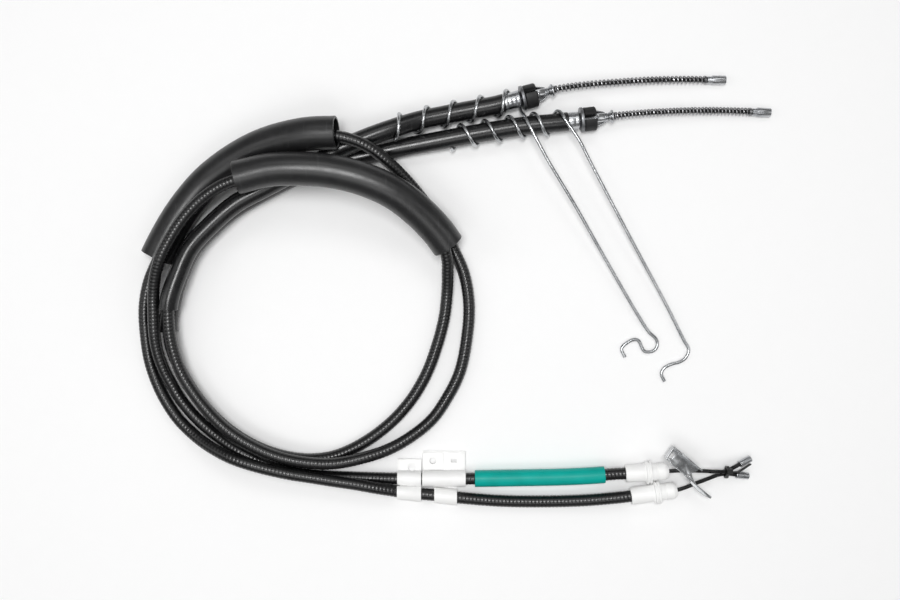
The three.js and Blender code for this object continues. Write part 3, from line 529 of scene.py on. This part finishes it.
# Stations of each cable, from the wheel nipple's tip
CABLES = {
    "a": dict(route=ROUTE_A, spring=0.131, shell=0.0142, tube=0.348, fitting_x=0.1505,
              coil=dict(turns=4.86, start=0.177, end=0.288, angle=-50, hand=1), arm=ARM_A,
              sleeve=SLEEVE_A, slot=20),
    "b": dict(route=ROUTE_B, spring=0.1185, shell=0.0096, tube=0.415, fitting_x=0.1433,
              coil=dict(turns=4.75, start=0.17625, end=0.273, angle=90, hand=-1), arm=ARM_B,
              sleeve=SLEEVE_B, slot=2),
}
for cable in CABLES.values():
    cable["path"] = Path(cable["route"])
    cable["spring_from"] = NIPPLE_END + GAP
    cable["seat_from"] = cable["spring_from"] + cable["spring"] + GAP
    cable["fitting_from"] = cable["seat_from"] + 0.0036 + GAP
    cable["collar_from"] = cable["fitting_from"] + NOSE_REACH
    cable["washer_from"] = cable["collar_from"] + COLLAR_LENGTH + GAP
    cable["shell_from"] = cable["washer_from"] + WASHER_THICKNESS + GAP
    cable["shell_to"] = cable["shell_from"] + cable["shell"]
    cable["conduit_from"] = cable["shell_from"] + SHELL_FLOOR + GAP
    cable["tube_from"] = cable["shell_to"] + GAP
    cable["lever_from"] = cable["path"].length_at_x(cable["fitting_x"])
    cable["conduit_to"] = cable["lever_from"] + 0.025 - GAP

RIB_PITCH = 0.0031


def ribbed(s, a):
    """Outside of a conduit: rounded ribs of the wound armour under the plastic."""
    wave = 0.5 + 0.5 * np.cos(2 * math.pi * (s / RIB_PITCH) - a)
    return CONDUIT_R - 0.00022 * wave ** 3


def strands(s, a):
    """Outside of a coated wire: the strands show faintly as long spirals."""
    return WIRE_R - 0.00015 * (0.5 + 0.5 * np.cos(6 * a - 2 * math.pi * s / 0.011)) ** 2


# Cords: both conduits, which lie free between the wheel fitting and the lever fitting
for key, cable in CABLES.items():
    path = cable["path"]
    start, end = cable["conduit_from"], cable["conduit_to"]
    s = spaced(start, end, RIB_PITCH / 6)
    conduit = tube(f"ribbed_conduit_{key}", frames_on(path, s), s, ribbed, 16, MATERIALS["conduit"])
    stand_for(conduit, f"conduit_{key}")
    cable["conduit"] = conduit
    cable["cord_line"] = path.at(spaced(start, end, 0.004))


def wheel_end(key, cable):
    """Nipple, return spring, seat, fitting, collar and washer at the wheel end of a cable."""
    path = cable["path"]
    zinc = MATERIALS["zinc"]
    bore = 0.002
    nipple = rounded([
        (0, 0), (0, 0.0038), (0.0116, 0.0038), (0.0116, 0.003), (NIPPLE_END, 0.003),
        (NIPPLE_END, bore), (0.002, bore), (0.002, 0),
    ], 0.0005)
    stand_for(turned(f"nipple_barrel_{key}", nipple, on_path(path, 0, cable["spring_from"]), zinc),
              f"wheel_nipple_{key}")

    seat = rounded([
        (0, WIRE_BORE_R), (0, 0.0052), (0.0007, 0.0057), (0.0014, 0.0055), (0.0022, 0.0042),
        (0.0036, 0.0036), (0.0036, WIRE_BORE_R),
    ], 0.0003)
    stand_for(turned(f"flared_seat_{key}", seat, on_path(path, cable["seat_from"], cable["shell_to"]),
                     zinc), f"spring_seat_{key}")

    shoulder = NOSE_REACH + COLLAR_LENGTH + WASHER_THICKNESS + 3 * GAP
    end = shoulder + cable["shell"]
    nose = NOSE_REACH
    outline = [
        (0, WIRE_BORE_R), (0, 0.0030), (0.0006, 0.0034), (nose * 0.5, 0.0039), (nose * 0.55, 0.004),
        (shoulder, 0.004), (shoulder, 0.0064), (shoulder + 0.001, 0.0073),
    ]
    groove = shoulder + 0.0030
    while groove < end - 0.004:
        outline += [(groove, 0.0073), (groove + 0.0004, 0.0072), (groove + 0.0012, 0.0072),
                    (groove + 0.0016, 0.0073)]
        groove += 0.0036
    outline += [(end, 0.0073), (end, SOCKET_R), (shoulder + SHELL_FLOOR, SOCKET_R),
                (shoulder + SHELL_FLOOR, WIRE_BORE_R)]
    matrix = on_path(path, cable["fitting_from"], cable["shell_to"])
    fitting = turned(f"crimped_fitting_{key}", rounded(outline, 0.00035, 2), matrix, zinc)
    fingers = []
    finger_half, r0, r1 = 0.0022, 0.0033, 0.0069
    y0, y1 = nose - GAP - 0.008, nose - 2 * GAP
    for i in range(3):
        bend = [(r0, y0), (r0 + 0.0012, y0 + 0.0012), (r0 + 0.0024, y0 + 0.004), (r1, y1),
                (r1 - 0.0008, y1), (r0 + 0.0016, y0 + 0.0043), (r0 + 0.0003, y0 + 0.0018),
                (r0 - 0.0008, y0 + 0.0006)]
        finger = prism(f"finger_{i}", bend, -finger_half, finger_half, zinc)
        finger.data.transform(Matrix.Rotation(math.pi / 6 + i * 2 * math.pi / 3, 4, "Y"))
        finger.data.transform(matrix)
        fingers.append(bevelled(finger, 0.00022, 2))
    combine(fitting, fingers, "UNION")
    smooth(fitting, 40)
    stand_for(fitting, f"wheel_fitting_{key}")

    ring = rounded([
        (0, COLLAR_BORE_R), (0, 0.0092), (0.0008, 0.01), (COLLAR_LENGTH - 0.0008, 0.01),
        (COLLAR_LENGTH, 0.0092), (COLLAR_LENGTH, COLLAR_BORE_R),
    ], 0.0004)
    collar = turned(f"slotted_collar_{key}", ring, Matrix(), MATERIALS["rubber"])
    combine(collar, [block("slot", (-0.0022, -0.001, 0.0035), (0.0022, COLLAR_LENGTH + 0.001, 0.012))],
            "DIFFERENCE")
    collar.data.transform(Matrix.Rotation(math.radians(cable["slot"]), 4, "Y"))
    collar.data.transform(on_path(path, cable["collar_from"], cable["shell_to"]))
    smooth(collar, 35)
    stand_for(collar, f"collar_{key}")

    plate = rounded([(0, COLLAR_BORE_R), (0, 0.0105), (WASHER_THICKNESS, 0.0105),
                     (WASHER_THICKNESS, COLLAR_BORE_R)], 0.0004)
    stand_for(turned(f"flat_washer_{key}", plate, on_path(path, cable["washer_from"],
                     cable["shell_to"]), MATERIALS["washer"]), f"washer_{key}")


def return_spring(key, cable):
    """Return spring over the wire: open coils between closed ends."""
    path = cable["path"]
    coils, closed, wire, coil_r = 40, 1.5, 0.00058, 0.003
    turns = np.linspace(0, coils, coils * 14 + 1)
    room = cable["spring"] - 2 * wire
    dead = 2 * wire * 1.03
    pitch = (room - 2 * closed * dead) / (coils - 2 * closed)
    along = np.where(turns < closed, turns * dead, closed * dead + (turns - closed) * pitch)
    along = np.where(turns > coils - closed, room - (coils - turns) * dead, along)
    s = cable["spring_from"] + wire + along
    centre, side, up = frames_on(path, s)
    angle = turns * 2 * math.pi
    points = centre + coil_r * (side * np.cos(angle)[:, None] + up * np.sin(angle)[:, None])
    spring = tube(f"return_coils_{key}", carried_frames(points), s, wire, 8,
                  MATERIALS["spring_steel"])
    stand_for(spring, f"return_spring_{key}")


def hook_spring(key, cable):
    """Open coils round the tube, then a straight arm with a bent hook."""
    coil = cable["coil"]
    turns = np.linspace(0, coil["turns"], int(coil["turns"] * 40) + 1)
    share = turns / coil["turns"]
    centre, side, up = frames_on(cable["path"], coil["start"] + (coil["end"] - coil["start"]) * share)
    angle = math.radians(coil["angle"]) - coil["hand"] * turns * 2 * math.pi
    wound = centre + HOOK_COIL_R * (side * np.cos(angle)[:, None] + up * np.sin(angle)[:, None])
    arm = Path([wound[0], *cable["arm"]])
    straight = arm.at(spaced(0, arm.total, 0.0012))[1:]
    points = np.concatenate([straight[::-1], wound])
    lengths = np.concatenate([[0], np.cumsum(np.linalg.norm(np.diff(points, axis=0), axis=1))])
    wire = tube(f"hook_wire_{key}", carried_frames(points), lengths, HOOK_WIRE_R, 14,
                MATERIALS["bright_wire"])
    stand_for(wire, f"hook_spring_{key}")


def covers(key, cable):
    """Stiff tube and loose sleeve of a cable, and its coated inner wire."""
    path = cable["path"]
    s = spaced(cable["tube_from"], cable["tube_from"] + cable["tube"], 0.003)
    stiff = tube(f"stiff_tube_{key}", frames_on(path, s), s, TUBE_R, 36, MATERIALS["tube"],
                 SOCKET_R, lip=0.0004)
    stand_for(stiff, f"wheel_tube_{key}")

    axis = Path(cable["sleeve"])
    s = spaced(0, axis.total, 0.003)

    def uneven(r):
        return lambda t, a: r + 0.00016 * np.sin(2 * a + 31 * t) * np.sin(40 * t + 1)

    loose = tube(f"sleeve_tube_{key}", frames_on(axis, s), s, uneven(SLEEVE_R), 48,
                 MATERIALS["sleeve"], uneven(SLEEVE_BORE_R), lip=0.0004)
    stand_for(loose, f"loose_sleeve_{key}")

    bare = cable["fitting_from"] + 0.004
    lever = cable["conduit_to"] - 0.003
    s = np.concatenate([spaced(0.0024, bare, 0.0012), spaced(bare, lever, 0.005)[1:],
                        spaced(lever, path.total, 0.0012)[1:]])
    wire = tube(f"coated_wire_{key}", frames_on(path, s), s, strands, 18, MATERIALS["coat"])
    stand_for(wire, f"inner_wire_{key}")


def lever_end(key, cable):
    """White fitting with its flange and nose, and the nipple on the wire."""
    path = cable["path"]
    barrel, flange, nose = 0.0073, 0.0096, 0.007
    back = 0.0027 if key == "a" else 0.0
    outline = [
        (-back, SOCKET_R), (-back, barrel - 0.0004), (0.0006 - back, barrel),
        (0.0155, barrel), (0.0155, 0.0077), (0.017, 0.0077),
        (0.017, flange - 0.0006), (0.0176, flange), (0.0192, flange),
        (0.0192, 0.0086), (0.0200, 0.0086), (0.0200, flange), (0.0214, flange), (0.022, flange - 0.0006),
        (0.022, nose), (0.0262, nose), (0.0262, 0.0066), (0.0272, 0.0066), (0.0272, nose),
        (FITTING_LENGTH - 0.003, nose), (FITTING_LENGTH, 0.0052), (FITTING_LENGTH, WIRE_BORE_R),
        (0.025, WIRE_BORE_R), (0.025, SOCKET_R),
    ]
    at = on_path(path, cable["lever_from"], cable["lever_from"] + FITTING_LENGTH)
    fitting = turned(f"moulded_fitting_{key}", rounded(outline, 0.0004), at,
                     MATERIALS["white_plastic"])
    stand_for(fitting, f"lever_fitting_{key}")

    reach = 0.011
    start = path.total - reach + 0.0012 + GAP
    floor = reach - 0.0012
    outline = rounded([(0, 0.002), (0, 0.0027), (0.0003, 0.0029), (reach - 0.0003, 0.0029),
                       (reach, 0.0026), (reach, 0), (floor, 0), (floor, 0.002)], 0.0004)
    nipple = turned(f"nipple_drum_{key}", outline, on_path(path, start, path.total),
                    MATERIALS["zinc"])
    stand_for(nipple, f"lever_nipple_{key}")


for key, cable in CABLES.items():
    wheel_end(key, cable)
    return_spring(key, cable)
    hook_spring(key, cable)
    covers(key, cable)
    lever_end(key, cable)

route_a, route_b = CABLES["a"]["path"], CABLES["b"]["path"]

start = route_b.length_at_x(0.017)
s = spaced(start, start + 0.109, 0.003)
teal = tube("teal_sleeve", frames_on(route_b, s), s, COLOUR_SLEEVE_R, 36, MATERIALS["teal"],
            SOCKET_R, lip=0.0004)
stand_for(teal, "colour_sleeve_b")


def at_x(path, x):
    return path.at(path.length_at_x(x))


def across(name, outlines, low, high):
    """Solid laid along x from low to high, from its outlines in y and z at the two ends."""
    n = len(outlines[0])
    verts = [(x, *q) for x, line in zip((low, high), outlines) for q in line]
    faces = [tuple(range(n))[::-1], tuple(range(n, 2 * n))]
    faces += [(k, (k + 1) % n, (k + 1) % n + n, k + n) for k in range(n)]
    solid = new_object(name, verts, faces, MATERIALS["white_plastic"])
    clean(solid.data)
    return solid


def arc(centre, start=0.0, end=math.pi):
    """Points of a saddle's round top, from its +Y side round to its -Y side."""
    _, y, z = centre
    return [(y + CLIP_R * math.cos(t), z + CLIP_R * math.sin(t)) for t in np.linspace(start, end, 41)]


def meeting(centre, middle):
    """Angle at which a saddle's round top comes down to a y value, or its foot."""
    return math.acos(min(max((middle - centre[1]) / CLIP_R, -1.0), 1.0))


def conduit_space(path, low, high):
    """Room that a clip leaves for a conduit between two x values."""
    s = spaced(path.length_at_x(low), path.length_at_x(high), 0.004)
    return tube("space", frames_on(path, s), s, SOCKET_R, 40, MATERIALS["white_plastic"])


def merge(obj, others):
    """Puts the meshes of other objects into one object."""
    bm = bmesh.new()
    for part in (obj, *others):
        bm.from_mesh(part.data)
    bm.to_mesh(obj.data)
    bm.free()
    for other in others:
        bpy.data.objects.remove(other)
    smooth(obj, 40)


def twin_clip():
    """Clip over both conduits, with a bolt hole in its tab."""
    x, half, tab, bolt_r = -0.0383, 0.010, 0.004, 0.00325
    b = at_x(route_b, x)
    edge = b[1] + 0.016

    def outline(end):
        a, b = at_x(route_a, end), at_x(route_b, end)
        middle = (a[1] + b[1]) / 2
        return [(a[1] - CLIP_R, 0), (edge, 0), (edge, tab), (b[1] + CLIP_R, tab),
                *arc(b, 0.0, meeting(b, middle)), *arc(a, meeting(a, middle), math.pi)]

    clip = across("clip_over_both", [outline(x - half), outline(x + half)], x - half, x + half)
    hole = prism("hole", circle(x + 0.002, b[1] + CLIP_R + 0.00225, bolt_r), -0.005, 0.025)
    spaces = [conduit_space(p, x - half - 0.004, x + half + 0.004) for p in (route_a, route_b)]
    combine(clip, [hole, *spaces], "DIFFERENCE")
    stand_for(bevelled(clip, 0.0004), "twin_clip")


def guide_clip():
    """Clip with a broad tab beside cable B and a strap over cable A."""
    x, half, tab, pin_r = -0.0091, 0.0182, 0.003, 0.0026
    b = at_x(route_b, x)
    edge, hole_y = b[1] + 0.0225, b[1] + 0.005 + 0.0175 * 0.55
    strap_x, strap_half = x + 0.0014, 0.0095
    pad_y = b[1] + CLIP_R + 0.0006

    def over_b(end):
        b = at_x(route_b, end)
        return [(b[1] - CLIP_R, 0), (edge, 0), (edge, tab), (b[1] + CLIP_R, tab), *arc(b)]

    def over_a(end):
        a, near = at_x(route_a, end), at_x(route_b, end)[1] - CLIP_R + 0.0006
        return [(a[1] - CLIP_R, 0), (near, 0), (near, tab), (a[1] + CLIP_R, tab), *arc(a)]

    def ends(low, high, outline):
        return [outline(low), outline(high)], low, high

    body = across("guide_over_cable", *ends(x - half, x + half, over_b))
    strap = across("strap", *ends(strap_x - strap_half, strap_x + strap_half, over_a))
    left = block("left_pad", (x - half + 0.0002, pad_y, 0.002), (x - 0.0006, edge - 0.001, 0.0046))
    right = block("right_pad", (x + 0.0006, pad_y, 0.002), (x + half - 0.0002, edge - 0.001, 0.0038))
    hole_x, slot_x = x - half * 0.52, x + half * 0.47

    def openings():
        slot = block("slot", (slot_x - 0.0025, hole_y - 0.0013, -0.005),
                     (slot_x + 0.0025, hole_y + 0.0013, 0.015))
        return [prism("hole", circle(hole_x, hole_y, pin_r), -0.005, 0.015), slot]

    def space(path):
        return conduit_space(path, x - half - 0.006, x + half + 0.006)

    combine(body, [*openings(), space(route_b)], "DIFFERENCE")
    combine(strap, [space(route_a), space(route_b)], "DIFFERENCE")
    for pad in (left, right):
        combine(pad, openings(), "DIFFERENCE")
    merge(bevelled(body, 0.0003), [bevelled(part, 0.0003) for part in (strap, left, right)])
    stand_for(body, "guide_clip")


def steel_lever():
    """Folded lever, drawn with its hole at the origin and its tail along x, then laid in place."""
    steel = MATERIALS["bright_wire"]
    sheet, height = 0.0013, 0.009
    hole_at, yaw = (0.1805, -0.1373), math.radians(-47.3)
    top_end, top_bend, ear = (-0.0054, 0.0066), (0.0043, 0.0080), (0.0250, 0.0108)
    low_end, low_bend, low_neck = (-0.0028, -0.0055), (0.0033, -0.0054), (0.0195, -0.0031)
    plate = prism("pressed_lever", [
        top_end, top_bend, ear, (0.0243, 0.0065), (0.0222, 0.0030), (0.0255, 0.0012), (0.0290, -0.0002),
        (0.0346, -0.0006), (0.0405, 0.0002), (0.0488, 0.0016), (0.0492, -0.0002), (0.0430, -0.0026),
        (0.0358, -0.0038), (0.0270, -0.0038), low_neck, (0.0100, -0.0045), low_bend, low_end,
    ], 0.0, sheet, steel)
    combine(plate, [prism("hole", circle(0, 0, 0.0025), -0.002, 0.004),
                    prism("hole", circle(0.0222, -0.0010, 0.0011), -0.002, 0.004)], "DIFFERENCE")

    def flange(start, end, top):
        """Upright wall on the inner side of an edge, start and end in the outline's order."""
        (x0, y0), (x1, y1) = start, end
        n = math.hypot(x1 - x0, y1 - y0)
        dx, dy = (y1 - y0) / n * sheet, -(x1 - x0) / n * sheet
        return prism("flange", [start, end, (x1 + dx, y1 + dy), (x0 + dx, y0 + dy)], 0.0, top, steel)

    flanges = [
        flange(top_bend, ear, height), flange(top_end, top_bend, height),
        flange(low_end, top_end, height), flange(low_bend, low_end, height * 0.55),
        flange((0.0100, -0.0045), low_bend, height * 0.5),
        flange(low_neck, (0.0100, -0.0045), height * 0.45),
        flange((0.0270, -0.0038), low_neck, height * 0.35),
    ]
    merge(bevelled(plate, 0.00035), [bevelled(f, 0.0003) for f in flanges])
    on_wire = at_x(route_b, 0.195)[2] + WIRE_R + GAP
    plate.data.transform(Matrix.Translation((*hole_at, on_wire)) @ Matrix.Rotation(yaw, 4, "Z"))
    stand_for(plate, "steel_lever")


twin_clip()
guide_clip()
steel_lever()

# The cable tie keeps its CAD shape and takes a finer material
tie = bpy.data.objects["cable_tie"]
tie.data.materials.clear()
tie.data.materials.append(MATERIALS["tie"])

for key, cable in CABLES.items():
    line = cable["cord_line"]
    length = float(np.sum(np.linalg.norm(np.diff(line, axis=0), axis=1)))
    tuple(line[0])

# Floor and light: white paper, a broad soft light overhead and weaker ones on all sides
floor_material = plain("floor_paper", (0.93, 0.93, 0.93), (0.925, 0.925, 0.925), 0.75, 0.05,
                       grain=300, relief=0.02)
floor = prism("floor", [(-3, -3), (3, -3), (3, 3), (-3, 3)], -0.02, 0.0, floor_material)
floor.location.z = -0.00005


def area_light(name, place, aim, size, power):
    data = bpy.data.lights.new(name, "AREA")
    data.shape = "RECTANGLE"
    data.size, data.size_y = size
    data.energy = power
    light = bpy.data.objects.new(name, data)
    light.location = place
    light.rotation_euler = (Vector(aim) - Vector(place)).to_track_quat("-Z", "Y").to_euler()
    bpy.context.scene.collection.objects.link(light)


area_light("top", (-0.14, 0.12, 1.9), (0, 0, 0), (0.8, 0.42), 20.3)
area_light("key", (-0.2, -0.95, 1.75), (0, -0.02, 0), (1.9, 0.7), 7.3)
area_light("back", (0.13, 1.2, 1.6), (0, 0.05, 0), (1.7, 0.5), 4.6)
area_light("left", (-1.75, 0.05, 1.25), (0, 0, 0), (0.6, 1.5), 4.6)
area_light("right", (1.75, 0.05, 1.25), (0, 0, 0), (0.6, 1.5), 4.6)

world = bpy.data.worlds.new("studio")
world.use_nodes = True
world.node_tree.nodes["Background"].inputs["Color"].default_value = (1, 1, 1, 1)
world.node_tree.nodes["Background"].inputs["Strength"].default_value = 0.20
bpy.context.scene.world = world
bpy.context.scene.view_settings.view_transform = "Standard"
